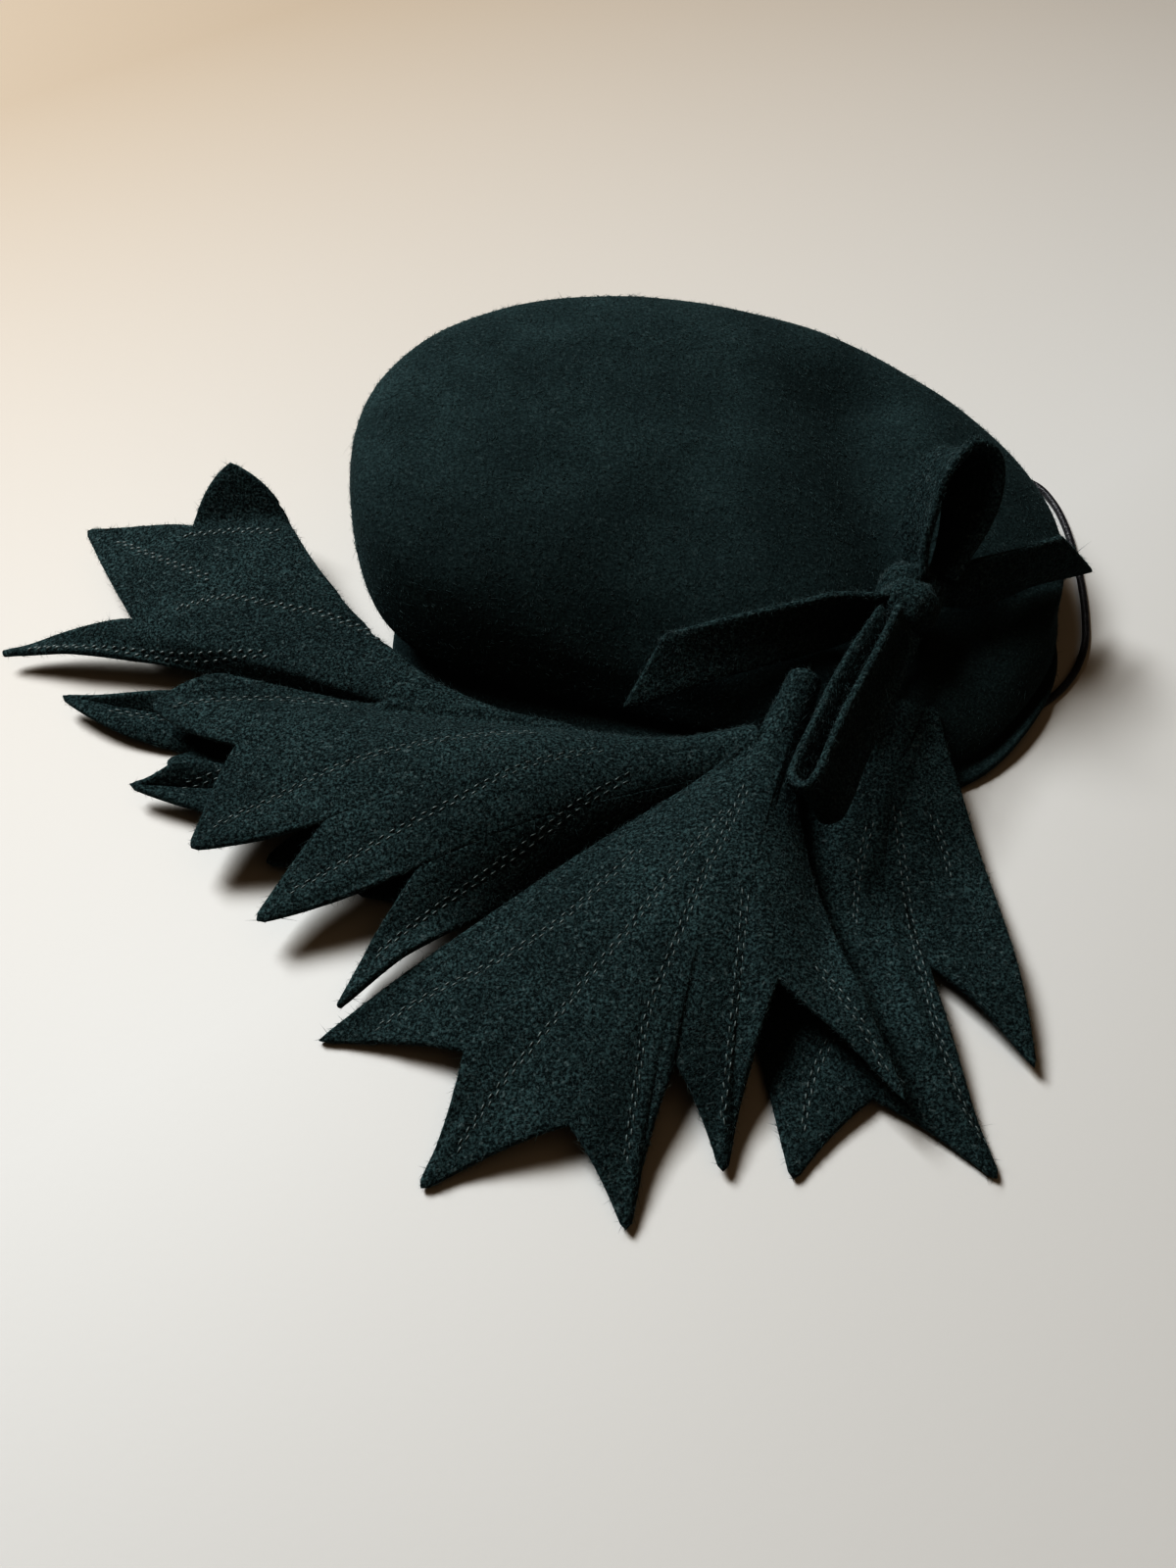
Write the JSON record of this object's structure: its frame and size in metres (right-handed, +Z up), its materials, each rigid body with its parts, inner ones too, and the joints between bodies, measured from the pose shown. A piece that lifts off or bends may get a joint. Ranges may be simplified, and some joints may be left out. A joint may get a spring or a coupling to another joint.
{
  "type": "felt tilt hat",
  "caption": "Small tilt hat with a soft felt crown, a narrow flared brim, stitched cut-felt leaves, a tied felt bow and a thin elastic loop.",
  "frame": {"origin": "on the table under the middle of the hat's outline, the elastic left out", "axes": "+Z up from the table, -Y towards the front leaves, +X towards the bow's side"},
  "size_m": [0.3066, 0.2526, 0.0666],
  "materials": {
    "felt": "dense wool felt, nearly black with a green-grey cast, fine pale fibres",
    "elastic": "black braided round elastic, slightly glossy"
  },
  "bodies": {
    "root": {"crown": "felt", "leaf_left": "felt", "leaf_under": "felt", "leaf_front_left": "felt", "leaf_right": "felt", "leaf_front": "felt", "bow_knot": "felt", "bow_loop_upper": "felt", "bow_loop_lower": "felt", "bow_tail_left": "felt", "bow_tail_right": "felt", "elastic": "elastic"}
  },
  "joints": []
}
